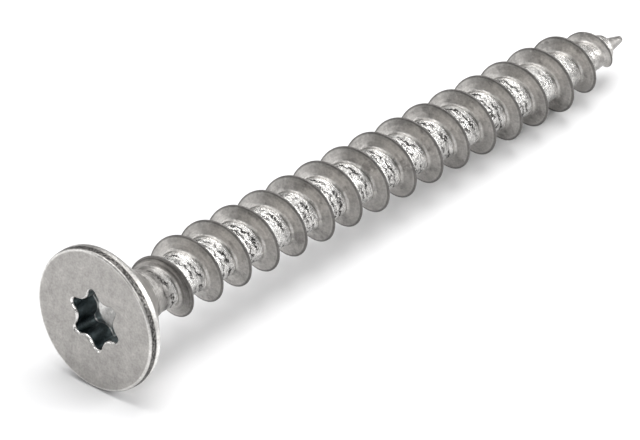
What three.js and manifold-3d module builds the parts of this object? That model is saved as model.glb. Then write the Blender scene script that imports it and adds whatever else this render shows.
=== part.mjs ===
// Countersunk wood screw, nominal 5 x 50 mm, six-lobe recess, one cold-headed and thread-rolled
// piece.
// Millimetres, +Z up. The axis lies along +Y: the flat head face looks towards -Y, its centre is
// the origin, and the point is at y = LENGTH.
import * as THREE from 'three';
import Module from 'manifold-3d';
import { mergeVertices } from 'three/addons/utils/BufferGeometryUtils.js';

// overall
const LENGTH = 50;
const HEAD_RADIUS = 4.65;
const CREST_RADIUS = 2.42;
const CORE_RADIUS = 1.48;
const PITCH = 2.57;

// head
const EDGE_ROUND = 0.18;        // rounded edge between flat face and land
const LAND_END = 0.8;           // the short cylindrical land stops here
const NECK_RADIUS = 1.65;
const NECK_START = LAND_END + HEAD_RADIUS - NECK_RADIUS;   // 90 degree countersink
const NECK_END = 4.1;
const NECK_STEP = 0.35;         // the neck steps down to the core over this length
const NECK_SINK = 0.08;         // and ends this far inside the core
const EDGE_STEPS = 4;

// point
const POINT_START = 39.5;       // the core starts to narrow here
const SHOULDER_START = 48;      // the core drops to the nib here
const SHOULDER_RADIUS = 0.96;
const CORE_TAPER_POWER = 1.5;
const NIB_START = 48.5;
const NIB_RADIUS = 0.52;
const NIB_END_RADIUS = 0.2;     // blunt end of the nib

// thread
const THREAD_START = 4.6;
const THREAD_END = 48.3;
const RUN_IN_RADIUS = 1.6;      // crest radius where the ridge begins
const RUN_IN_LENGTH = 2.5;      // the crest climbs to full height over this length
const CREST_TAPER_START = 42;
const CREST_END_RADIUS = 1;
const CREST_TAPER_POWER = 2;
const CREST_HALF_WIDTH = 0.06;
const FLANK_SLOPE = Math.tan(THREE.MathUtils.degToRad(20));
const LEAST_FOOT = 0.12;        // the ridge foot is never narrower than this beyond the crest
const SHANK_START = 3.85;       // the shank begins inside the neck
const TOP_CREST_Y = 8.22;       // a crest stands straight above the axis here
const STEPS_PER_TURN = 32;

// six-lobe recess, size 20
const RECESS_ACROSS_LOBES = 4;
const RECESS_ACROSS_FLUTES = 2.9;
const LOBE_RADIUS = 0.36;
const LOBES = 6;
const LOBE_TURN = THREE.MathUtils.degToRad(21);
const ARC_STEPS = 5;
const RECESS_DEPTH = 2.7;       // depth of the conical floor on the axis
const RECESS_RIM_DEPTH = 1.5;   // depth of that cone at one recess width off the axis
const OPEN_END = 1;             // the cutting shape starts this far outside the face

const AROUND = 64;
const JOIN_DISTANCE = 1e-5;

const wasm = await Module();
wasm.setup();

// Corners that coincide are joined, and triangles that shrink to nothing are left out.
function toSolid(geometry) {
  const bare = geometry.clone();
  bare.deleteAttribute('normal');
  bare.deleteAttribute('uv');
  const merged = mergeVertices(bare, JOIN_DISTANCE);
  const corners = merged.index.array;
  const kept = [];
  for (let i = 0; i < corners.length; i += 3) {
    const [a, b, c] = corners.slice(i, i + 3);
    if (a !== b && b !== c && c !== a) kept.push(a, b, c);
  }
  const mesh = new wasm.Mesh({
    numProp: 3,
    vertProperties: new Float32Array(merged.attributes.position.array),
    triVerts: new Uint32Array(kept),
  });
  return new wasm.Manifold(mesh);
}

function toGeometry(solid) {
  const mesh = solid.getMesh();
  const geometry = new THREE.BufferGeometry();
  geometry.setAttribute('position', new THREE.BufferAttribute(mesh.vertProperties, 3));
  geometry.setIndex(new THREE.BufferAttribute(mesh.triVerts, 1));
  geometry.computeVertexNormals();
  return geometry;
}

// Share of the way from low to high, between 0 and 1.
function along(y, low, high) {
  return THREE.MathUtils.clamp((y - low) / (high - low), 0, 1);
}

// The core narrows slowly, drops at the shoulder and ends in a short blunt nib.
function coreRadiusAt(y) {
  const taper = along(y, POINT_START, SHOULDER_START) ** CORE_TAPER_POWER;
  const narrowed = (CORE_RADIUS - SHOULDER_RADIUS) * taper;
  const dropped = (SHOULDER_RADIUS - NIB_RADIUS) * along(y, SHOULDER_START, NIB_START);
  const pointed = (NIB_RADIUS - NIB_END_RADIUS) * along(y, NIB_START, LENGTH);
  return CORE_RADIUS - narrowed - dropped - pointed;
}

// The crest rises out of the core below the neck and sinks again towards the point.
function crestRadiusAt(y) {
  if (y < THREAD_START || y > THREAD_END) return 0;
  const climb = along(y, THREAD_START, THREAD_START + RUN_IN_LENGTH);
  const risen = RUN_IN_RADIUS + (CREST_RADIUS - RUN_IN_RADIUS) * Math.sin(climb * Math.PI / 2);
  const sunk = along(y, CREST_TAPER_START, THREAD_END) ** CREST_TAPER_POWER;
  return risen - (CREST_RADIUS - CREST_END_RADIUS) * sunk;
}

// Head and neck, turned about the axis. Points are (radius, y).
function headProfile() {
  const path = new THREE.Path();
  path.moveTo(0, 0);
  path.lineTo(HEAD_RADIUS - EDGE_ROUND, 0);
  path.absarc(HEAD_RADIUS - EDGE_ROUND, EDGE_ROUND, EDGE_ROUND, -Math.PI / 2, 0);
  path.lineTo(HEAD_RADIUS, LAND_END);
  path.lineTo(NECK_RADIUS, NECK_START);
  path.lineTo(NECK_RADIUS, NECK_END);
  path.lineTo(CORE_RADIUS - NECK_SINK, NECK_END + NECK_STEP);
  path.lineTo(0, NECK_END + NECK_STEP);
  return path.getPoints(EDGE_STEPS);
}

function headSolid() {
  return toSolid(new THREE.LatheGeometry(headProfile(), AROUND));
}

// How far each line of the ridge lies from the ridge middle, from gap middle to gap middle.
function ridgeOffsets(crest, core) {
  const foot = CREST_HALF_WIDTH + Math.max(LEAST_FOOT, (crest - core) * FLANK_SLOPE);
  const half = [CREST_HALF_WIDTH, foot, PITCH / 2];
  return [-half[2], -half[1], -half[0], half[0], half[1], half[2]];
}

// Core, thread and point: one flat sheet bent round the axis along the helix. Each turn's far
// edge is the next turn's near edge, and both ends close on the axis.
function shankSolid() {
  const firstTurn = Math.floor((SHANK_START - TOP_CREST_Y) / PITCH) - 1;
  const lastTurn = Math.ceil((LENGTH - TOP_CREST_Y) / PITCH) + 1;
  const steps = (lastTurn - firstTurn) * STEPS_PER_TURN;
  const lines = ridgeOffsets(CREST_RADIUS, CORE_RADIUS).length - 1;
  const sheet = new THREE.PlaneGeometry(1, 1, lines, steps);
  const place = sheet.attributes.position;
  for (let i = 0; i < place.count; i += 1) {
    const line = Math.round((0.5 - place.getX(i)) * lines);
    const step = Math.round((place.getY(i) + 0.5) * steps);
    const turn = firstTurn + step / STEPS_PER_TURN;
    const ridgeY = TOP_CREST_Y + turn * PITCH;
    const crest = crestRadiusAt(ridgeY);
    const y = ridgeY + ridgeOffsets(crest, coreRadiusAt(ridgeY))[line];
    const core = coreRadiusAt(y);
    const onCrest = line === 2 || line === 3;
    const surface = onCrest ? Math.max(crest, core) : core;
    const radius = y > SHANK_START && y < LENGTH ? surface : 0;
    const angle = 2 * Math.PI * (step % STEPS_PER_TURN) / STEPS_PER_TURN;
    const level = THREE.MathUtils.clamp(y, SHANK_START, LENGTH);
    place.setXYZ(i, radius * Math.sin(angle), level, radius * Math.cos(angle));
  }
  return toSolid(sheet);
}

// Outline of the six-lobe recess: small lobe arcs and larger flute arcs that touch. The flute
// radius follows from the distance between the centres being the sum of the two radii.
function recessOutline() {
  const lobeCentre = RECESS_ACROSS_LOBES / 2 - LOBE_RADIUS;
  const half = Math.PI / LOBES;
  const inner = RECESS_ACROSS_FLUTES / 2;
  const gap = inner * inner + lobeCentre * lobeCentre - LOBE_RADIUS * LOBE_RADIUS;
  const cross = 2 * lobeCentre * Math.cos(half);
  const flute = (inner * cross - gap) / (2 * (inner - LOBE_RADIUS) - cross);
  const fluteCentre = inner + flute;
  const touch = Math.asin(fluteCentre * Math.sin(half) / (flute + LOBE_RADIUS));
  const shape = new THREE.Shape();
  for (let k = 0; k < LOBES; k += 1) {
    const at = LOBE_TURN + 2 * k * half;
    const next = at + half;
    const back = next + Math.PI;
    const sweep = touch - half;
    shape.absarc(lobeCentre * Math.cos(at), lobeCentre * Math.sin(at), LOBE_RADIUS,
      at - touch, at + touch);
    shape.absarc(fluteCentre * Math.cos(next), fluteCentre * Math.sin(next), flute,
      back + sweep, back - sweep, true);
  }
  return shape;
}

function recessSolid() {
  const bar = new THREE.ExtrudeGeometry(recessOutline(), {
    depth: OPEN_END + RECESS_DEPTH,
    bevelEnabled: false,
    curveSegments: ARC_STEPS,
  });
  bar.rotateX(-Math.PI / 2);
  bar.translate(0, -OPEN_END, 0);
  const reach = RECESS_ACROSS_LOBES;
  const floor = new THREE.LatheGeometry([
    new THREE.Vector2(0, -2 * OPEN_END),
    new THREE.Vector2(reach, -2 * OPEN_END),
    new THREE.Vector2(reach, RECESS_RIM_DEPTH),
    new THREE.Vector2(0, RECESS_DEPTH),
  ], AROUND);
  return toSolid(bar).intersect(toSolid(floor));
}

const steel = new THREE.MeshStandardMaterial({ color: 0xb2aea8, metalness: 0.9, roughness: 0.4 });
const solid = headSolid().add(shankSolid()).subtract(recessSolid());
const screw = new THREE.Mesh(toGeometry(solid), steel);
screw.name = 'screw';

const part = new THREE.Group();
part.add(screw);
export default part;
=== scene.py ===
# Countersunk wood screw, nominal 5 x 50 mm, lying on a pale table.
# The axis runs along +Y from the flat head face to the point.
import math

import bmesh
import bpy
from mathutils import Matrix, Vector


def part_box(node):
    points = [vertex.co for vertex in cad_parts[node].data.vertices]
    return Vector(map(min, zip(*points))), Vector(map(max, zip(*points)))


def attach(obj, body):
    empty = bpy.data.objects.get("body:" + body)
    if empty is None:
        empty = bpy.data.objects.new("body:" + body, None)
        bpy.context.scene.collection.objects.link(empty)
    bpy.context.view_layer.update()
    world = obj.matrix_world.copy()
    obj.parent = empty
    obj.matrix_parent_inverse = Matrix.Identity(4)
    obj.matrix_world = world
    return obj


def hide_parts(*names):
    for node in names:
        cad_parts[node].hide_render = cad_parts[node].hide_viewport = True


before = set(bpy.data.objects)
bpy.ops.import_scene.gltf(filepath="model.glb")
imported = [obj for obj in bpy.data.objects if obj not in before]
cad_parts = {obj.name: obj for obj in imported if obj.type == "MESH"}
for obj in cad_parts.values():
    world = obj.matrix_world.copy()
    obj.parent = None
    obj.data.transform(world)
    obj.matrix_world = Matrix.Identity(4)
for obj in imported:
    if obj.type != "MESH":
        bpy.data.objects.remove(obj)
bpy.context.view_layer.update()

MM = 0.001

# ---------------------------------------------------------------- sizes, millimetres
LOW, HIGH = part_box("screw")
LENGTH = (HIGH.y - LOW.y) / MM
HEAD_RADIUS = (HIGH.x - LOW.x) / 2 / MM

CREST_RADIUS = 2.42
CORE_RADIUS = 1.48
PITCH = 2.57
TOP_CREST_Y = 8.22         # a crest stands straight above the axis here
THREAD_START = 4.6
THREAD_END = 48.3
RUN_IN_LENGTH = 2.5
RUN_IN_RADIUS = 1.6
CREST_TAPER_START = 42.0
CREST_END_RADIUS = 1.0
CREST_TAPER_POWER = 2.0
THREAD_END_FADE = 0.05
THREAD_START_FADE = 0.3
MERGE_DISTANCE = 2e-6      # metres; joins the head's last ring to the shank's first line

NECK_RADIUS = 1.65
NECK_STEP_START = 4.15
NECK_STEP_END = 4.95
CORE_TAPER_START = 39.5
CORE_TAPER_POWER = 1.5
SHOULDER_START = 48.0
SHOULDER_RADIUS = 0.96
NIB_START = 48.5
NIB_RADIUS = 0.52
NIB_END_RADIUS = 0.2
NIB_ROUND = 0.18

LAND_END = 0.8
EDGE_ROUND = 0.18
CORNER_ROUND = 0.3

RECESS_ACROSS_LOBES = 4.0
RECESS_ACROSS_FLUTES = 2.9
LOBE_RADIUS = 0.36
LOBES = 6
LOBE_ANGLE = 51.0          # one lobe's direction, degrees from straight up towards +X
RECESS_WALL_DEPTH = 1.78
RECESS_DEPTH = 2.7
RECESS_DRILL_SLOPE = 0.72    # the floor is a blunt cone
RECESS_CHAMFER = 0.15
RECESS_DRAFT = -0.04
WALL_INSET = 0.03          # the recess wall stands this far inside its outline
FLOOR_SHARES = (0.1, 0.25, 0.4, 0.5, 0.6, 0.7, 0.8, 0.88, 0.94)
WALL_DEPTHS = (RECESS_WALL_DEPTH, RECESS_WALL_DEPTH - 0.05, 1.5, 1.2, 0.85, 0.5, 0.3,
               RECESS_CHAMFER + 0.02)
CHAMFER_STEPS = 6
CHAMFER_OUT_POWER = 1.3
CHAMFER_UP_POWER = 0.8
FACE_STEPS = 28
FACE_STEP_POWER = 1.15     # the face's rings lie closer together near the recess
RIM_LEAN = 0.02            # the land is this much narrower at the face
EDGE_STOP = 12.0           # degrees short of the land where the rounded edge stops
EDGE_STEPS = 6
LAND_STEPS = 5
CONE_ANGLE = 45.0
CORNER_STEPS = 6
CONE_STEPS = 26
NECK_BLEND = ((0.08, -0.08), (0.025, 0.01), (0.0, 0.1))   # outwards and along, from the neck

AROUND = 108               # points round every ring, a multiple of the lobes
RIDGE_LINES = 40           # lines across one pitch
TABLE_SLOPE = math.atan2(HEAD_RADIUS - CREST_RADIUS, CREST_TAPER_START - LAND_END)


# ---------------------------------------------------------------- camera
LENS = 393.75
SENSOR_WIDTH = 36
CAMERA_PLACE = Vector((243.14, -266.63, 213.62)) * MM
CAMERA_AIM = Vector((-1.233, 22.034, -2.566)) * MM
CAMERA_ROLL = -0.3
TABLE_UP = Vector((0, -math.sin(TABLE_SLOPE), math.cos(TABLE_SLOPE)))


def look_from(place, aim, up):
    """Rotation of a camera or light that looks from place to aim."""
    back = (place - aim).normalized()
    side = up.cross(back).normalized()
    top = back.cross(side)
    return Matrix((side, top, back)).transposed().to_quaternion()


def add_camera():
    data = bpy.data.cameras.new("camera")
    data.lens = LENS
    data.sensor_width = SENSOR_WIDTH
    camera = bpy.data.objects.new("camera", data)
    camera.location = CAMERA_PLACE
    camera.rotation_mode = "QUATERNION"
    roll = Matrix.Rotation(math.radians(CAMERA_ROLL), 3, "Z").to_quaternion()
    camera.rotation_quaternion = look_from(CAMERA_PLACE, CAMERA_AIM, TABLE_UP) @ roll
    bpy.context.collection.objects.link(camera)
    bpy.context.scene.camera = camera


# ---------------------------------------------------------------- node helpers
def wire(tree, value, socket):
    """Joins a socket to value, or sets it to a plain number."""
    if isinstance(value, bpy.types.NodeSocket):
        tree.links.new(value, socket)
    else:
        socket.default_value = value


def math_of(tree, operation, *values):
    """A Math node set to operation, with sockets or plain numbers as its values."""
    node = tree.nodes.new("ShaderNodeMath")
    node.operation = operation
    for value, socket in zip(values, node.inputs):
        wire(tree, value, socket)
    return node.outputs[0]


def product_of(tree, first, *others):
    """All the values multiplied, from left to right."""
    for other in others:
        first = math_of(tree, "MULTIPLY", first, other)
    return first


def largest_of(tree, first, *others):
    for other in others:
        first = math_of(tree, "MAXIMUM", first, other)
    return first


def blend_of(tree, value, gain, base):
    """value times gain, plus base."""
    return math_of(tree, "MULTIPLY_ADD", value, gain, base)


def vector_of(tree, operation, *values):
    node = tree.nodes.new("ShaderNodeVectorMath")
    node.operation = operation
    for value, socket in zip(values, node.inputs):
        wire(tree, value, socket)
    return node.outputs["Value" if operation in ("LENGTH", "DISTANCE") else "Vector"]


def join_xyz(tree, x, y, z):
    node = tree.nodes.new("ShaderNodeCombineXYZ")
    for value, socket in zip((x, y, z), node.inputs):
        wire(tree, value, socket)
    return node.outputs[0]


def step_of(tree, value, low, high, to_low=0.0, to_high=1.0):
    """Rises smoothly from to_low at low to to_high at high."""
    node = tree.nodes.new("ShaderNodeMapRange")
    node.interpolation_type = "SMOOTHSTEP"
    for v, name in zip((value, low, high, to_low, to_high),
                       ("Value", "From Min", "From Max", "To Min", "To Max")):
        wire(tree, v, node.inputs[name])
    return node.outputs["Result"]


def after(tree, value, border):
    """0 before the soft border (start, end), 1 after it."""
    return step_of(tree, value, *border)


def until(tree, value, border, full=1.0, rest=0.0):
    """full before the soft border (start, end), rest after it."""
    return step_of(tree, value, *border, full, rest)


def share_of(tree, value, low, high):
    """0 at low, 1 at high, clamped, in a straight line."""
    node = tree.nodes.new("ShaderNodeMapRange")
    for v, name in zip((value, low, high), ("Value", "From Min", "From Max")):
        wire(tree, v, node.inputs[name])
    return node.outputs["Result"]


def noise_of(tree, vector, scale, detail=2.0, roughness=0.5, distortion=0.0):
    node = tree.nodes.new("ShaderNodeTexNoise")
    node.noise_dimensions = "3D"
    wire(tree, vector, node.inputs["Vector"])
    for v, name in zip((scale, detail, roughness, distortion),
                       ("Scale", "Detail", "Roughness", "Distortion")):
        wire(tree, v, node.inputs[name])
    return node.outputs["Fac"]


def curve_of(tree, value, points):
    """A straight-line function through the given points, both axes 0 to 1."""
    node = tree.nodes.new("ShaderNodeFloatCurve")
    curve = node.mapping.curves[0]
    for _ in range(len(points) - 2):
        curve.points.new(0.5, 0.5)
    for point, (x, y) in zip(curve.points, points):
        point.location = (x, y)
        point.handle_type = "VECTOR"
    node.mapping.update()
    wire(tree, value, node.inputs["Value"])
    return node.outputs[0]


# ---------------------------------------------------------------- head
def recess_outline():
    """One closed line of AROUND points, evenly spaced, round the six-lobe recess."""
    half = math.pi / LOBES
    lobe_centre = RECESS_ACROSS_LOBES / 2 - LOBE_RADIUS
    inner = RECESS_ACROSS_FLUTES / 2
    cross = 2 * lobe_centre * math.cos(half)
    gap = inner**2 + lobe_centre**2 - LOBE_RADIUS**2
    flute = (inner * cross - gap) / (2 * (inner - LOBE_RADIUS) - cross)
    flute_centre = inner + flute
    touch = math.asin(flute_centre * math.sin(half) / (flute + LOBE_RADIUS))
    lobe_run = touch * LOBE_RADIUS
    whole = lobe_run + (touch - half) * flute
    per_half = AROUND // (2 * LOBES)
    points = []
    for k in range(AROUND):
        lobe, place = divmod(k, 2 * per_half)
        mirrored = place > per_half
        run = whole * (2 * per_half - place if mirrored else place) / per_half
        if run <= lobe_run:
            turn = run / LOBE_RADIUS
            x = lobe_centre + LOBE_RADIUS * math.cos(turn)
            y = LOBE_RADIUS * math.sin(turn)
        else:
            turn = half + (whole - run) / flute
            x = flute_centre * math.cos(half) - flute * math.cos(turn)
            y = flute_centre * math.sin(half) - flute * math.sin(turn)
        y = -y if mirrored else y
        at = 2 * half * lobe if not mirrored else 2 * half * (lobe + 1)
        points.append((x * math.cos(at) - y * math.sin(at), x * math.sin(at) + y * math.cos(at)))
    return points


def ring_of_outline(outline, grow, y):
    """The recess outline moved outwards by grow (towards the axis if negative), at height y."""
    ring = []
    for x, z in outline:
        reach = math.hypot(x, z)
        ring.append((x * (1 + grow / reach), y, z * (1 + grow / reach)))
    return ring


def circle_ring(radius, y):
    return [(radius * math.cos(2 * math.pi * k / AROUND), y,
             radius * math.sin(2 * math.pi * k / AROUND)) for k in range(AROUND)]


def between(ring_a, ring_b, share):
    return [tuple(a + (b - a) * share for a, b in zip(p, q)) for p, q in zip(ring_a, ring_b)]


def arc_rings(centre_radius, centre_y, radius, start, end, count):
    """Circle rings along a rounded corner; angles in degrees, 0 outwards and 90 towards +Y."""
    rings = []
    for i in range(count + 1):
        turn = math.radians(start + (end - start) * i / count)
        rings.append(circle_ring(centre_radius + radius * math.cos(turn),
                                 centre_y + radius * math.sin(turn)))
    return rings


def straight_rings(a, b, count):
    """Circle rings from just after a to just before b; a and b are (radius, y)."""
    return [circle_ring(a[0] + (b[0] - a[0]) * i / count, a[1] + (b[1] - a[1]) * i / count)
            for i in range(1, count)]


def recess_rings():
    """Floor, wall and chamfer of the recess, from the axis to the opening in the face."""
    outline = recess_outline()
    rings = []
    for share in FLOOR_SHARES:
        rings.append([])
        for x, _, z in ring_of_outline(outline, RECESS_DRAFT, 0):
            drilled = RECESS_DEPTH - RECESS_DRILL_SLOPE * share * math.hypot(x, z)
            rings[-1].append((x * share, max(drilled, RECESS_WALL_DEPTH), z * share))
    for depth in WALL_DEPTHS:
        grow = RECESS_DRAFT * depth / RECESS_WALL_DEPTH - WALL_INSET
        rings.append(ring_of_outline(outline, grow, depth))
    for step in range(CHAMFER_STEPS + 1):
        share = step / CHAMFER_STEPS
        rings.append(ring_of_outline(outline, RECESS_CHAMFER * share**CHAMFER_OUT_POWER - WALL_INSET,
                                     RECESS_CHAMFER * (1 - share**CHAMFER_UP_POWER)))
    return rings


def head_rings():
    """Every ring of the head from the recess floor to the neck, and the last ring's y."""
    rings = recess_rings()
    opening = rings[-1]
    edge_start = HEAD_RADIUS - RIM_LEAN - EDGE_ROUND
    rim = circle_ring(edge_start, 0)
    for i in range(1, FACE_STEPS):
        rings.append(between(opening, rim, (i / FACE_STEPS) ** FACE_STEP_POWER))
    rings += arc_rings(edge_start, EDGE_ROUND, EDGE_ROUND, -90, -EDGE_STOP, EDGE_STEPS)
    stop = math.radians(EDGE_STOP)
    cone = math.radians(CONE_ANGLE)
    corner_y = LAND_END - CORNER_ROUND * math.tan(cone / 2)
    rings += straight_rings((edge_start + EDGE_ROUND * math.cos(stop),
                             EDGE_ROUND * (1 - math.sin(stop))),
                            (HEAD_RADIUS, corner_y), LAND_STEPS)
    rings += arc_rings(HEAD_RADIUS - CORNER_ROUND, corner_y, CORNER_ROUND, 0, CONE_ANGLE,
                       CORNER_STEPS)
    last_radius = HEAD_RADIUS - CORNER_ROUND * (1 - math.cos(cone))
    last_y = corner_y + CORNER_ROUND * math.sin(cone)
    cone_end = last_y + last_radius - NECK_RADIUS
    blend = [(NECK_RADIUS + out, cone_end + along) for out, along in NECK_BLEND]
    rings += straight_rings((last_radius, last_y), blend[0], CONE_STEPS)
    rings += [circle_ring(radius, y) for radius, y in blend]
    return rings, blend[-1][1]


def head_mesh():
    """Recess, face, land and cone as rings of points, closed at the recess floor."""
    rings, neck_y = head_rings()
    shape = bmesh.new()
    turn = Matrix.Rotation(math.radians(LOBE_ANGLE), 3, "Y")
    pole = shape.verts.new(Vector((0, RECESS_DEPTH, 0)) * MM)
    # a ring's first point lies along +Z turned by LOBE_ANGLE towards +X
    made = [[shape.verts.new(turn @ Vector((z, y, x)) * MM) for x, y, z in ring]
            for ring in rings]
    for k in range(AROUND):
        shape.faces.new((pole, made[0][k], made[0][(k + 1) % AROUND]))
        for inner, outer in zip(made, made[1:]):
            nxt = (k + 1) % AROUND
            shape.faces.new((inner[k], outer[k], outer[nxt], inner[nxt]))
    mesh = bpy.data.meshes.new("screw_head")
    shape.to_mesh(mesh)
    shape.free()
    return mesh, neck_y


# ---------------------------------------------------------------- thread
THREADED_FINISH_Y = (THREAD_START - 0.6, THREAD_START + 0.2)
RIDGE_SHAPE = (   # (line number share, distance from ridge middle as a share of the pitch, height)
    (0.0, 0.0, 1.0), (0.05, 0.012, 1.0), (0.1, 0.023, 0.965), (0.15, 0.036, 0.86),
    (0.25, 0.063, 0.6), (0.35, 0.09, 0.34), (0.45, 0.118, 0.1), (0.52, 0.145, 0.025),
    (0.6, 0.19, 0.0), (1.0, 0.5, 0.0),
)


def new_input(tree, name, kind, value):
    socket = tree.interface.new_socket(name, in_out="INPUT", socket_type=kind)
    if value is not None:
        socket.default_value = value


def body_radius(tree, y, size):
    """Neck, core, shoulder and nib radius at y, in millimetres."""
    step = step_of(tree, y, NECK_STEP_START, NECK_STEP_END, size["Neck Radius"],
                   size["Core Radius"])
    narrowed = math_of(tree, "POWER", share_of(tree, y, CORE_TAPER_START, SHOULDER_START),
                       CORE_TAPER_POWER)
    narrowed = math_of(tree, "MULTIPLY", narrowed, CORE_RADIUS - SHOULDER_RADIUS)
    dropped = step_of(tree, y, SHOULDER_START, NIB_START, 0.0, SHOULDER_RADIUS - NIB_RADIUS)
    pointed = math_of(tree, "MULTIPLY", share_of(tree, y, NIB_START, LENGTH),
                      NIB_RADIUS - NIB_END_RADIUS)
    radius = step
    for part in (narrowed, dropped, pointed):
        radius = math_of(tree, "SUBTRACT", radius, part)
    end = share_of(tree, y, LENGTH - NIB_ROUND, LENGTH)
    rounded = math_of(tree, "SQRT", math_of(tree, "SUBTRACT", 1.0,
                                            math_of(tree, "MULTIPLY", end, end)))
    return math_of(tree, "MULTIPLY", radius, rounded)


def crest_radius(tree, y, size):
    """Radius of the crest of the ridge whose middle is at y."""
    climb = share_of(tree, y, THREAD_START, THREAD_START + RUN_IN_LENGTH)
    risen = math_of(tree, "SINE", math_of(tree, "MULTIPLY", climb, math.pi / 2))
    height = math_of(tree, "SUBTRACT", size["Crest Radius"], RUN_IN_RADIUS)
    risen = math_of(tree, "MULTIPLY_ADD", risen, height, RUN_IN_RADIUS)
    sunk = math_of(tree, "POWER", share_of(tree, y, CREST_TAPER_START, THREAD_END),
                   CREST_TAPER_POWER)
    crest = math_of(tree, "SUBTRACT", risen,
                    math_of(tree, "MULTIPLY", sunk, CREST_RADIUS - CREST_END_RADIUS))
    before_end = until(tree, y, (THREAD_END, THREAD_END + THREAD_END_FADE))
    after_start = after(tree, y, (THREAD_START - THREAD_START_FADE, THREAD_START))
    return math_of(tree, "MULTIPLY", crest, math_of(tree, "MULTIPLY", before_end, after_start))


def threaded_shank_tree(steel):
    """The head it is given, joined to a sheet bent round the axis along the helix."""
    tree = bpy.data.node_groups.new("threaded shank", "GeometryNodeTree")
    new_input(tree, "Geometry", "NodeSocketGeometry", None)
    for name, value in (("Crest Radius", CREST_RADIUS), ("Core Radius", CORE_RADIUS),
                        ("Neck Radius", NECK_RADIUS), ("Pitch", PITCH),
                        ("Crest Place", TOP_CREST_Y), ("Start", LAND_END + HEAD_RADIUS - NECK_RADIUS),
                        ("Length", LENGTH)):
        new_input(tree, name, "NodeSocketFloat", value)
    new_input(tree, "Lines", "NodeSocketInt", RIDGE_LINES)
    new_input(tree, "Around", "NodeSocketInt", AROUND)
    tree.interface.new_socket("Geometry", in_out="OUTPUT", socket_type="NodeSocketGeometry")
    entry = tree.nodes.new("NodeGroupInput")
    size = entry.outputs
    first = math_of(tree, "FLOOR", math_of(
        tree, "DIVIDE", math_of(tree, "SUBTRACT", size["Start"], size["Crest Place"]),
        size["Pitch"]))
    first = math_of(tree, "SUBTRACT", first, 1.0)
    last = math_of(tree, "CEIL", math_of(
        tree, "DIVIDE", math_of(tree, "SUBTRACT", size["Length"], size["Crest Place"]),
        size["Pitch"]))
    last = math_of(tree, "ADD", last, 1.0)
    steps = math_of(tree, "MULTIPLY", math_of(tree, "SUBTRACT", last, first), size["Around"])

    sheet = tree.nodes.new("GeometryNodeMeshGrid")
    wire(tree, math_of(tree, "ADD", size["Lines"], 1.0), sheet.inputs["Vertices X"])
    wire(tree, math_of(tree, "ADD", steps, 1.0), sheet.inputs["Vertices Y"])
    place = tree.nodes.new("ShaderNodeSeparateXYZ")
    tree.links.new(tree.nodes.new("GeometryNodeInputPosition").outputs[0], place.inputs[0])
    line = math_of(tree, "ROUND", math_of(
        tree, "MULTIPLY", math_of(tree, "ADD", place.outputs["X"], 0.5), size["Lines"]))
    across = math_of(tree, "DIVIDE", line, size["Lines"])
    step = math_of(tree, "ROUND", math_of(
        tree, "MULTIPLY", math_of(tree, "ADD", place.outputs["Y"], 0.5), steps))

    # distance from the ridge middle and height, both from how far the line is from it
    signed = math_of(tree, "MULTIPLY_ADD", across, 2.0, -1.0)
    far = math_of(tree, "ABSOLUTE", signed)
    share = curve_of(tree, far, [(n, 2 * d) for n, d, _ in RIDGE_SHAPE])
    height = curve_of(tree, far, [(n, h) for n, _, h in RIDGE_SHAPE])
    offset = math_of(tree, "MULTIPLY", math_of(tree, "SIGN", signed),
                     math_of(tree, "MULTIPLY", share, 0.5))

    start_angle = math.radians(LOBE_ANGLE)
    turn = math_of(tree, "ADD", first, math_of(tree, "DIVIDE", step, size["Around"]))
    turned = math_of(tree, "ADD", turn, start_angle / (2 * math.pi))
    ridge_y = math_of(tree, "MULTIPLY_ADD", turned, size["Pitch"], size["Crest Place"])
    y = math_of(tree, "MULTIPLY_ADD", offset, size["Pitch"], ridge_y)
    level = math_of(tree, "MINIMUM", math_of(tree, "MAXIMUM", y, size["Start"]), size["Length"])
    body = body_radius(tree, level, size)
    crest = math_of(tree, "MAXIMUM", crest_radius(tree, ridge_y, size), body)
    radius = math_of(tree, "MULTIPLY_ADD", math_of(tree, "SUBTRACT", crest, body), height, body)
    before = math_of(tree, "GREATER_THAN", y, math_of(tree, "ADD", size["Start"], 1e-4))
    radius = math_of(tree, "ADD", math_of(tree, "MULTIPLY", radius, before),
                     math_of(tree, "MULTIPLY", size["Neck Radius"],
                             math_of(tree, "SUBTRACT", 1.0, before)))
    inside = math_of(tree, "LESS_THAN", y, size["Length"])
    radius = math_of(tree, "MULTIPLY", radius, inside)
    angle = math_of(tree, "MULTIPLY_ADD", math_of(
        tree, "DIVIDE", math_of(tree, "MODULO", step, size["Around"]), size["Around"]),
        2 * math.pi, start_angle)
    target = join_xyz(tree,
                      math_of(tree, "MULTIPLY", radius, math_of(tree, "SINE", angle)),
                      level,
                      math_of(tree, "MULTIPLY", radius, math_of(tree, "COSINE", angle)))
    move = tree.nodes.new("GeometryNodeSetPosition")
    tree.links.new(sheet.outputs["Mesh"], move.inputs["Geometry"])

    # what the finish needs to know: ridge height, and where in the gap a point lies
    phase = math_of(tree, "MULTIPLY", offset, 2 * math.pi)
    marks = (("ridge", math_of(tree, "MULTIPLY", height, inside)),
             ("gap_side", math_of(tree, "SINE", phase)),
             ("gap_near", math_of(tree, "COSINE", phase)),
             ("threaded", after(tree, y, THREADED_FINISH_Y)))
    flow = sheet.outputs["Mesh"]
    for name, value in marks:
        store = tree.nodes.new("GeometryNodeStoreNamedAttribute")
        store.data_type = "FLOAT"
        store.domain = "POINT"
        store.inputs["Name"].default_value = name
        tree.links.new(flow, store.inputs["Geometry"])
        tree.links.new(value, store.inputs["Value"])
        flow = store.outputs["Geometry"]
    tree.links.new(flow, move.inputs["Geometry"])
    tree.links.new(vector_of(tree, "MULTIPLY", target, (MM, MM, MM)), move.inputs["Position"])

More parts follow.
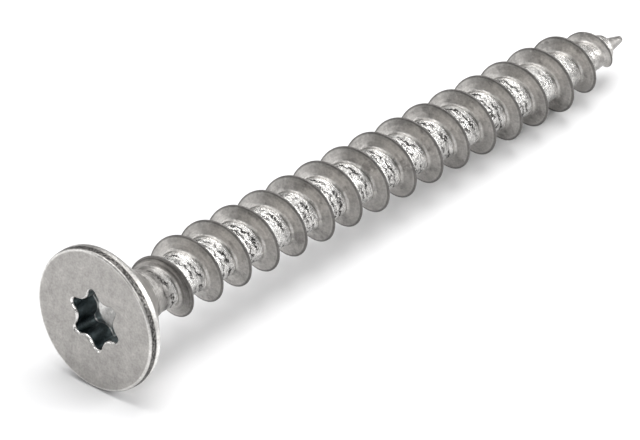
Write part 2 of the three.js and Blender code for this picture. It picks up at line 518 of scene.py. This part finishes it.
    join = tree.nodes.new("GeometryNodeJoinGeometry")
    tree.links.new(move.outputs["Geometry"], join.inputs[0])
    tree.links.new(entry.outputs["Geometry"], join.inputs[0])
    merge = tree.nodes.new("GeometryNodeMergeByDistance")
    merge.inputs["Distance"].default_value = MERGE_DISTANCE
    tree.links.new(join.outputs[0], merge.inputs["Geometry"])
    smooth = tree.nodes.new("GeometryNodeSetShadeSmooth")
    tree.links.new(merge.outputs[0], smooth.inputs["Geometry"])
    realize = tree.nodes.new("GeometryNodeRealizeInstances")
    tree.links.new(smooth.outputs[0], realize.inputs["Geometry"])
    paint = tree.nodes.new("GeometryNodeSetMaterial")
    paint.inputs["Material"].default_value = steel
    tree.links.new(realize.outputs[0], paint.inputs["Geometry"])
    leave = tree.nodes.new("NodeGroupOutput")
    tree.links.new(paint.outputs[0], leave.inputs[0])
    return tree


# ---------------------------------------------------------------- steel finish, with painted shade and highlights
def new_group(name, inputs, outputs):
    """A shader node group with named sockets; returns the tree, its inputs and its exit."""
    tree = bpy.data.node_groups.new(name, "ShaderNodeTree")
    for label, kind, value in inputs:
        socket = tree.interface.new_socket(label, in_out="INPUT", socket_type=kind)
        if value is not None:
            socket.default_value = value
    for label, kind in outputs:
        tree.interface.new_socket(label, in_out="OUTPUT", socket_type=kind)
    return tree, tree.nodes.new("NodeGroupInput").outputs, tree.nodes.new("NodeGroupOutput")


def use_group(tree, group, **values):
    node = tree.nodes.new("ShaderNodeGroup")
    node.node_tree = group
    for label, value in values.items():
        wire(tree, value, node.inputs[label.replace("_", " ")])
    return node.outputs


GRAIN_SPECKLE = (3.0, 0.6)          # noise detail and roughness
GRAIN_CLOUD = (4.0, 0.65)
SPECKLE_RANGE = (0.28, 0.72)
SOFT_RANGE = (0.3, 0.7)
RING_STRETCH = (1.0, 18.0, 1.0)    # squeezes the noise along the axis into rings

SEAM_PLACES = ((0.72, 0.3), (-0.45, 0.2))   # phase across the gap, and half width
SEAM_SOLID = 0.35                  # share of the half width that is fully dark
SEAM_WANDER = 3.4
SEAM_NOISE = (4.0, 0.75)
BREAK_SCALE = 0.4
BREAK_BORDER = (0.36, 0.5)
CRUMPLE_STRETCH = (1.0, 1.6, 1.0)
CRUMPLE_SCALE = 1.2
CRUMPLE_NOISE = (4.0, 0.65, 0.6)
LINE_SPREAD = (220.0, 0.0, 220.0)
LINE_CROWDING = 5.5
LINE_NOISE = (3.0, 0.7)
FLOOR_PHASE = (1.8, 2.25)          # the core between two ridges ends here


def steel_grain_group():
    """Fine speckle, soft clouds and faint rings round the axis, each from 0 to 1."""
    tree, given, leave = new_group(
        "steel grain",
        [("Vector", "NodeSocketVector", None), ("Speckle Scale", "NodeSocketFloat", 6500.0),
         ("Cloud Scale", "NodeSocketFloat", 1300.0), ("Ring Scale", "NodeSocketFloat", 900.0)],
        [("Speckle", "NodeSocketFloat"), ("Cloud", "NodeSocketFloat"),
         ("Rings", "NodeSocketFloat")])
    speckle = share_of(tree, noise_of(tree, given["Vector"], given["Speckle Scale"],
                                      *GRAIN_SPECKLE), *SPECKLE_RANGE)
    cloud = share_of(tree, noise_of(tree, given["Vector"], given["Cloud Scale"], *GRAIN_CLOUD),
                     *SOFT_RANGE)
    stretched = vector_of(tree, "MULTIPLY", given["Vector"], RING_STRETCH)
    rings = share_of(tree, noise_of(tree, stretched, given["Ring Scale"], *GRAIN_CLOUD),
                     *SOFT_RANGE)
    for value, label in ((speckle, "Speckle"), (cloud, "Cloud"), (rings, "Rings")):
        tree.links.new(value, leave.inputs[label])
    return tree


def rolling_marks_group():
    """What thread rolling leaves: dark seams, crumpled metal and lines along the helix."""
    tree, given, leave = new_group(
        "rolling marks",
        [("Vector", "NodeSocketVector", None), ("Side", "NodeSocketFloat", 0.0),
         ("Near", "NodeSocketFloat", 1.0), ("Scale", "NodeSocketFloat", 2600.0)],
        [("Seam", "NodeSocketFloat"), ("Crumple", "NodeSocketFloat"),
         ("Lines", "NodeSocketFloat"), ("Floor", "NodeSocketFloat")])
    # place across the gap: 0 in its middle, about half a turn of phase at the ridge
    place = math_of(tree, "ARCTAN2", math_of(tree, "MULTIPLY", given["Side"], -1.0),
                    math_of(tree, "MULTIPLY", given["Near"], -1.0))
    wander = noise_of(tree, given["Vector"], given["Scale"], *SEAM_NOISE)
    wander = blend_of(tree, wander, SEAM_WANDER, -SEAM_WANDER / 2)
    broken = noise_of(tree, given["Vector"], product_of(tree, given["Scale"], BREAK_SCALE))
    broken = after(tree, broken, BREAK_BORDER)
    seams = None
    for middle, width in SEAM_PLACES:
        off = math_of(tree, "ABSOLUTE", math_of(
            tree, "SUBTRACT", math_of(tree, "ADD", place, wander), middle))
        seam = until(tree, off, (width * SEAM_SOLID, width))
        seams = seam if seams is None else math_of(tree, "MAXIMUM", seams, seam)
    seams = math_of(tree, "MULTIPLY", seams, broken)
    crumple = noise_of(tree, vector_of(tree, "MULTIPLY", given["Vector"], CRUMPLE_STRETCH),
                       product_of(tree, given["Scale"], CRUMPLE_SCALE), *CRUMPLE_NOISE)
    spread = vector_of(tree, "MULTIPLY", given["Vector"], LINE_SPREAD)
    crowded = join_xyz(tree, 0.0, product_of(tree, place, LINE_CROWDING), 0.0)
    lines = noise_of(tree, vector_of(tree, "ADD", spread, crowded), 1.0, *LINE_NOISE)
    lines = share_of(tree, lines, *SOFT_RANGE)
    floor = until(tree, math_of(tree, "ABSOLUTE", place), FLOOR_PHASE)
    for value, label in ((math_of(tree, "MULTIPLY", seams, floor), "Seam"),
                         (crumple, "Crumple"), (lines, "Lines"), (floor, "Floor")):
        tree.links.new(value, leave.inputs[label])
    return tree


def attribute_of(tree, name):
    node = tree.nodes.new("ShaderNodeAttribute")
    node.attribute_name = name
    return node.outputs["Fac"]


def mix_colour(tree, share, a, b):
    node = tree.nodes.new("ShaderNodeMix")
    node.data_type = "RGBA"
    wire(tree, share, node.inputs[0])
    wire(tree, a, node.inputs[6])
    wire(tree, b, node.inputs[7])
    return node.outputs[2]


def mix_value(tree, share, a, b):
    node = tree.nodes.new("ShaderNodeMix")
    wire(tree, share, node.inputs[0])
    wire(tree, a, node.inputs[2])
    wire(tree, b, node.inputs[3])
    return node.outputs[0]


SATIN = (0.5, 0.483, 0.463, 1)
BRIGHT = (0.8, 0.79, 0.77, 1)
DARK = (0.035, 0.033, 0.032, 1)
# recess walls: painted shade inside the recess, with a teal tint
RECESS_SHADE_TINT = (0.12, 0.15, 0.16, 1)

# Soft borders, (start, end) in millimetres. Y is measured from the head face towards the
# point, RADIUS from the axis, and Z upwards as the screw lies.
FACE_BACK_Y = (0.01, 0.04)
FACE_RADIUS = (4.4, 4.5)
EDGE_RADIUS = (4.42, 4.48)         # the thin bright line round the face
EDGE_BACK_Y = (0.06, 0.1)
ENTRY_RADIUS = (2.15, 2.25)        # the bright chamfer of the recess
ENTRY_START_Y = (0.003, 0.02)
ENTRY_BACK_Y = (0.2, 0.3)
RECESS_RADIUS = (2.2, 2.3)
RECESS_START_Y = (0.12, 0.2)
RECESS_BACK_Y = (3.0, 3.2)
# the recess floor, given bright steel: partly a painted highlight
DRILLED_Y = (RECESS_WALL_DEPTH - 0.06, RECESS_WALL_DEPTH - 0.01)
LAND_RADIUS = (4.3, 4.5)           # the dark mottled stripe on the land
LAND_START_Y = (0.07, 0.14)
LAND_BACK_Y = (0.42, 0.5)
BAND_START_Y = (0.48, 0.56)        # the band of polish between the land and the cone, brighter on its lower side as a painted highlight
BAND_BACK_Y = (0.95, 1.15)
BAND_TOP_Z = (-1.0, 2.0)
CONE_RINGS_Y = (0.6, 0.8)
COLLAR_START_Y = (3.3, 3.8)
COLLAR_BACK_Y = (4.6, 5.2)
WORKED_Y = (3.9, 4.2)              # rolling lines start to show in the colour
WORKED_HEIGHT_Y = (3.9, 4.3)       # and in the surface
RUN_IN_START_Y = (4.2, 4.5)
RUN_IN_BACK_Y = (5.0, 5.7)
ROLLED_Y = (4.8, 5.7)              # the bright rolled core starts here
FIRST_TURN_BACK_Y = (5.6, 7.2)
MARKS_FADE_Y = (36.0, 45.0)        # seams and crumples grow faint towards the point
BRIGHT_FADE_Y = (41.0, 47.5)
NIB_Y = (48.2, 48.5)

# Soft borders in shares from 0 to 1: of the ridge's height, and of a noise's strength.
CREST_RIDGE = (0.8, 0.94)
FLANK_RIDGE = (0.05, 0.3)
MOTTLE_SPECKLE = (0.25, 0.8)
BLOTCH_NOISE = (0.5, 0.66)

BAND_TOP_HIGHLIGHT_SHARE = 0.3               # share of polish and painted highlight left on the band's upper side
EDGE_SHARE = 0.5
MARKS_LEFT = 0.4                   # shares left at the point
BRIGHT_LEFT = 0.1
# how far the crest is darkened: painted shade along the thread's crest
CREST_PAINTED_SHADE = 0.7
BLOTCH_DARK = 0.42
FACE_DARK = 0.18

# (gain, base) pairs
SPECKLE_SHADE = (0.38, 0.79)
CLOUD_SHADE = (0.34, 0.81)
LINES_SHADE = (-0.32, 0.16)
LAND_MOTTLE = (-0.3, 0.97)
RINGS_DULL = (0.4, 0.05)
FIRST_TURN_DARK = (0.65, 0.25)
RUN_IN_DARK = (0.6, 0.1)
SPECKLE_ROUGH = (0.14, 0.3)

BLOTCH_SCALE = 700.0
BLOTCH_DETAIL = 4.0
BLOTCH_ROUGHNESS = 0.7
POLISHED_ROUGH = 0.26
STAIN_AND_SHADE_ROUGH = 0.5
RECESS_ROUGH = 0.3

# heights of surface marks, millimetres
SPECKLE_HEIGHT = 0.009
COLLAR_RINGS_HEIGHT = 0.015
RINGS_HEIGHT = 0.008
LINES_HEIGHT = 0.012
CRUMPLE_HEIGHT = 0.1
SEAM_DEPTH = 0.05


def head_finishes(tree, y, z, radius):
    """Shares from 0 to 1 of each finish on the head, by name; the band's lower side carries a painted
    highlight, the recess walls painted shade and its floor a painted highlight.
    """
    # the band: polish, with a painted highlight that makes its lower side brighter than its upper
    # side
    band = product_of(tree, after(tree, y, BAND_START_Y), until(tree, y, BAND_BACK_Y),
                      until(tree, z, BAND_TOP_Z, 1.0, BAND_TOP_HIGHLIGHT_SHARE))
    entry = product_of(tree, until(tree, radius, ENTRY_RADIUS), after(tree, y, ENTRY_START_Y),
                       until(tree, y, ENTRY_BACK_Y))
    edge = product_of(tree, after(tree, radius, EDGE_RADIUS),
                      until(tree, y, EDGE_BACK_Y, EDGE_SHARE))
    return {
        "face": product_of(tree, until(tree, y, FACE_BACK_Y), until(tree, radius, FACE_RADIUS)),
        "land": product_of(tree, after(tree, y, LAND_START_Y), until(tree, y, LAND_BACK_Y),
                           after(tree, radius, LAND_RADIUS)),
        "recess": product_of(tree, after(tree, y, RECESS_START_Y),
                             until(tree, radius, RECESS_RADIUS), until(tree, y, RECESS_BACK_Y)),
        "drilled": after(tree, y, DRILLED_Y),
        "polish_and_highlight": largest_of(tree, band, largest_of(tree, entry, edge)),
        "collar": product_of(tree, after(tree, y, COLLAR_START_Y),
                             until(tree, y, COLLAR_BACK_Y)),
    }


def shank_finishes(tree, y, marks):
    """Shares from 0 to 1 of each finish on the shank, by name; the crest share carries painted shade.
    """
    threaded = product_of(tree, attribute_of(tree, "threaded"), until(tree, y, NIB_Y))
    ridge = attribute_of(tree, "ridge")
    fades = until(tree, y, MARKS_FADE_Y, 1.0, MARKS_LEFT)
    rolled = product_of(tree, threaded, after(tree, y, ROLLED_Y))
    return {
        "threaded": threaded,
        # the crest share places painted shade along the thread's crest
        "crest": after(tree, ridge, CREST_RIDGE),
        "fades": fades,
        "core": product_of(tree, marks["Floor"], rolled),
        "seam": product_of(tree, marks["Seam"], threaded, fades),
        "run_in": product_of(tree, after(tree, y, RUN_IN_START_Y),
                             until(tree, y, RUN_IN_BACK_Y), marks["Floor"]),
        "first_turn": product_of(tree, after(tree, ridge, FLANK_RIDGE),
                                 until(tree, y, FIRST_TURN_BACK_Y)),
        "nib": after(tree, y, NIB_Y),
    }


def dark_share(tree, where, grain, marks, head, shank):
    """How far the steel is darkened, from 0 to 1, by its marks and by painted shade on the crest: the
    darkest counts.
    """
    mottle = after(tree, grain["Speckle"], MOTTLE_SPECKLE)
    blotch = after(tree, noise_of(tree, where, BLOTCH_SCALE, BLOTCH_DETAIL, BLOTCH_ROUGHNESS),
                   BLOTCH_NOISE)
    return largest_of(
        tree,
        product_of(tree, head["land"], blend_of(tree, mottle, *LAND_MOTTLE)),
        shank["seam"],
        product_of(tree, largest_of(tree, head["collar"], shank["nib"]),
                   blend_of(tree, grain["Rings"], *RINGS_DULL)),
        product_of(tree, shank["first_turn"], blend_of(tree, marks["Lines"], *FIRST_TURN_DARK)),
        # painted shade along the thread's crest
        product_of(tree, shank["crest"], CREST_PAINTED_SHADE),
        product_of(tree, shank["run_in"], blend_of(tree, grain["Cloud"], *RUN_IN_DARK)),
        product_of(tree, blotch, shank["threaded"], BLOTCH_DARK))


def steel_colour(tree, y, grain, marks, head, shank, stain_and_shade):
    """The base colour: satin or bright steel, the bright partly a painted highlight, then dark marks
    with painted shade, the recess with painted shade and highlight, and grain.
    """
    brightness = product_of(tree, shank["core"], until(tree, y, BRIGHT_FADE_Y, 1.0, BRIGHT_LEFT))
    colour = mix_colour(tree, largest_of(tree, brightness, head["polish_and_highlight"]), SATIN, BRIGHT)
    colour = mix_colour(tree, stain_and_shade, colour, DARK)
    # recess walls take painted shade, its floor bright steel that is partly a painted highlight
    recess_shade_and_highlight = mix_colour(tree, head["drilled"], RECESS_SHADE_TINT, BRIGHT)
    colour = mix_colour(tree, head["recess"], colour, recess_shade_and_highlight)
    shade = product_of(tree, blend_of(tree, grain["Speckle"], *SPECKLE_SHADE),
                       blend_of(tree, grain["Cloud"], *CLOUD_SHADE))
    worked = product_of(tree, after(tree, y, WORKED_Y),
                        blend_of(tree, marks["Lines"], *LINES_SHADE))
    shade = product_of(tree, math_of(tree, "ADD", shade, worked),
                       blend_of(tree, head["face"], -FACE_DARK, 1.0))
    tint = tree.nodes.new("ShaderNodeVectorMath")
    tint.operation = "SCALE"
    tree.links.new(colour, tint.inputs[0])
    tree.links.new(shade, tint.inputs["Scale"])
    return tint.outputs[0]


def steel_roughness(tree, grain, head, shank, stain_and_shade):
    rough = blend_of(tree, grain["Speckle"], *SPECKLE_ROUGH)
    rough = mix_value(tree, largest_of(tree, shank["core"], head["polish_and_highlight"]), rough,
                      POLISHED_ROUGH)
    rough = mix_value(tree, stain_and_shade, rough, STAIN_AND_SHADE_ROUGH)
    return mix_value(tree, head["recess"], rough, RECESS_ROUGH)


def steel_height(tree, y, grain, marks, head, shank):
    """Height of the surface marks, millimetres."""
    height = product_of(tree, grain["Speckle"], SPECKLE_HEIGHT)
    rings_on = blend_of(tree, head["collar"], COLLAR_RINGS_HEIGHT,
                        product_of(tree, after(tree, y, CONE_RINGS_Y), RINGS_HEIGHT))
    height = blend_of(tree, grain["Rings"], rings_on, height)
    lines_on = product_of(tree, after(tree, y, WORKED_HEIGHT_Y), LINES_HEIGHT)
    height = blend_of(tree, marks["Lines"], lines_on, height)
    crumple = product_of(tree, product_of(tree, marks["Crumple"], shank["core"]),
                         product_of(tree, shank["fades"], CRUMPLE_HEIGHT))
    height = math_of(tree, "ADD", height, crumple)
    return math_of(tree, "SUBTRACT", height, product_of(tree, shank["seam"], SEAM_DEPTH))


def satin_steel():
    material = bpy.data.materials.new("satin steel")
    material.use_nodes = True
    tree = material.node_tree
    shader = tree.nodes["Principled BSDF"]
    where = tree.nodes.new("ShaderNodeTexCoord").outputs["Object"]
    split = tree.nodes.new("ShaderNodeSeparateXYZ")
    tree.links.new(where, split.inputs[0])
    y = product_of(tree, split.outputs["Y"], 1 / MM)
    z = product_of(tree, split.outputs["Z"], 1 / MM)
    across = join_xyz(tree, split.outputs["X"], 0.0, split.outputs["Z"])
    radius = product_of(tree, vector_of(tree, "LENGTH", across), 1 / MM)

    grain = use_group(tree, steel_grain_group(), Vector=where)
    marks = use_group(tree, rolling_marks_group(), Vector=where,
                      Side=attribute_of(tree, "gap_side"), Near=attribute_of(tree, "gap_near"))
    head = head_finishes(tree, y, z, radius)
    shank = shank_finishes(tree, y, marks)
    stain_and_shade = dark_share(tree, where, grain, marks, head, shank)

    colour = steel_colour(tree, y, grain, marks, head, shank, stain_and_shade)
    tree.links.new(colour, shader.inputs["Base Color"])
    rough = steel_roughness(tree, grain, head, shank, stain_and_shade)
    tree.links.new(rough, shader.inputs["Roughness"])
    shader.inputs["Metallic"].default_value = 1.0
    bump = tree.nodes.new("ShaderNodeBump")
    bump.inputs["Distance"].default_value = MM
    bump.inputs["Strength"].default_value = 1.0
    tree.links.new(steel_height(tree, y, grain, marks, head, shank), bump.inputs["Height"])
    tree.links.new(bump.outputs[0], shader.inputs["Normal"])
    return material


# ---------------------------------------------------------------- the screw
def make_screw():
    steel = satin_steel()
    mesh, neck_y = head_mesh()
    base = bpy.data.objects.new("screw_base", mesh)
    bpy.context.collection.objects.link(base)
    modifier = base.modifiers.new("threaded shank", "NODES")
    tree = threaded_shank_tree(steel)
    modifier.node_group = tree
    for item in tree.interface.items_tree:
        if item.in_out == "INPUT" and item.name == "Start":
            modifier[item.identifier] = neck_y
    depsgraph = bpy.context.evaluated_depsgraph_get()
    plain = bpy.data.meshes.new_from_object(base.evaluated_get(depsgraph))
    bpy.data.objects.remove(base)
    bpy.data.node_groups.remove(tree)
    shape = bmesh.new()
    shape.from_mesh(plain)
    bmesh.ops.dissolve_degenerate(shape, dist=1e-7, edges=shape.edges)
    bmesh.ops.recalc_face_normals(shape, faces=shape.faces)
    for face in shape.faces:
        face.smooth = True
    shape.to_mesh(plain)
    shape.free()
    piece = bpy.data.objects.new("wood_screw", plain)
    bpy.context.collection.objects.link(piece)
    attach(piece, "root")
    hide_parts("screw")
    return piece


# ---------------------------------------------------------------- table and light
TABLE_REACH = 30.0         # metres from the middle to each side
TABLE_WHITE = (0.8, 0.8, 0.805, 1)
TABLE_ROUGHNESS = 0.85
TABLE_SPECULAR = 0.1
ROOM_LOW = 0.03            # brightness of the room at the horizon and overhead
ROOM_HIGH = 0.6
ROOM_RISE = (-0.05, 0.75)  # heights between which it rises
BACKDROP = 0.95            # brightness of the room as the camera sees it
PANEL_AIM = Vector((0, 0.022, 0))
WINDOW = ((-0.2, 0.1, 1.0), 2.1, 52.0)    # direction, strength and width in degrees
PANELS = (                 # name, direction, distance, width and height in metres, power in watts
    ("right panel", (0.6, 0.68, 0.4), 0.9, 0.5, 0.5, 5.6),
    ("top panel", (-0.1, 0.0, 1.0), 0.9, 0.8, 0.8, 1.0),
    ("left panel", (-0.8, -0.6, 0.22), 0.9, 0.4, 0.3, 1.2),
    ("front panel", (0.46, -0.72, 0.52), 0.9, 0.2, 0.16, 0.9),
)


def add_table():
    """A pale table that touches the head's rim and the thread's crests."""
    shape = bmesh.new()
    bmesh.ops.create_grid(shape, x_segments=1, y_segments=1, size=TABLE_REACH)
    mesh = bpy.data.meshes.new("table")
    touch = Vector((0, LAND_END, -HEAD_RADIUS)) * MM
    place = Matrix.Translation(touch) @ Matrix.Rotation(TABLE_SLOPE, 4, "X")
    bmesh.ops.transform(shape, matrix=place, verts=shape.verts)
    shape.to_mesh(mesh)
    shape.free()
    material = bpy.data.materials.new("table white")
    material.use_nodes = True
    shader = material.node_tree.nodes["Principled BSDF"]
    shader.inputs["Base Color"].default_value = TABLE_WHITE
    shader.inputs["Roughness"].default_value = TABLE_ROUGHNESS
    shader.inputs["Specular IOR Level"].default_value = TABLE_SPECULAR
    mesh.materials.append(material)
    table = bpy.data.objects.new("table", mesh)
    bpy.context.collection.objects.link(table)


def add_panel(name, direction, distance, width, height, power):
    """A rectangular light that faces the middle of the screw."""
    place = PANEL_AIM + Vector(direction).normalized() * distance
    data = bpy.data.lights.new(name, "AREA")
    data.shape = "RECTANGLE"
    data.size = width
    data.size_y = height
    data.energy = power
    lamp = bpy.data.objects.new(name, data)
    lamp.location = place
    lamp.rotation_mode = "QUATERNION"
    lamp.rotation_quaternion = look_from(place, PANEL_AIM, Vector((0, 0, 1)))
    bpy.context.collection.objects.link(lamp)


def add_light():
    """A pale room for the camera, a dimmer one for the metal, four panels and a soft window."""
    world = bpy.data.worlds.new("studio")
    bpy.context.scene.world = world
    world.use_nodes = True
    tree = world.node_tree
    room = tree.nodes["Background"]
    room.inputs["Color"].default_value = (1, 1, 1, 1)
    direction = tree.nodes.new("ShaderNodeSeparateXYZ")
    tree.links.new(tree.nodes.new("ShaderNodeTexCoord").outputs["Generated"], direction.inputs[0])
    height = step_of(tree, direction.outputs["Z"], *ROOM_RISE, ROOM_LOW, ROOM_HIGH)
    seen = tree.nodes.new("ShaderNodeLightPath").outputs["Is Camera Ray"]
    tree.links.new(mix_value(tree, seen, height, BACKDROP), room.inputs["Strength"])
    for panel in PANELS:
        add_panel(*panel)
    direction, strength, width = WINDOW
    data = bpy.data.lights.new("window", "SUN")
    data.energy = strength
    data.angle = math.radians(width)
    lamp = bpy.data.objects.new("window", data)
    lamp.rotation_mode = "QUATERNION"
    lamp.rotation_quaternion = look_from(Vector(direction), Vector((0, 0, 0)), Vector((0, 0, 1)))
    bpy.context.collection.objects.link(lamp)
    bpy.context.scene.view_settings.view_transform = "Standard"
    bpy.context.scene.view_settings.look = "None"


add_camera()
make_screw()
add_table()
add_light()
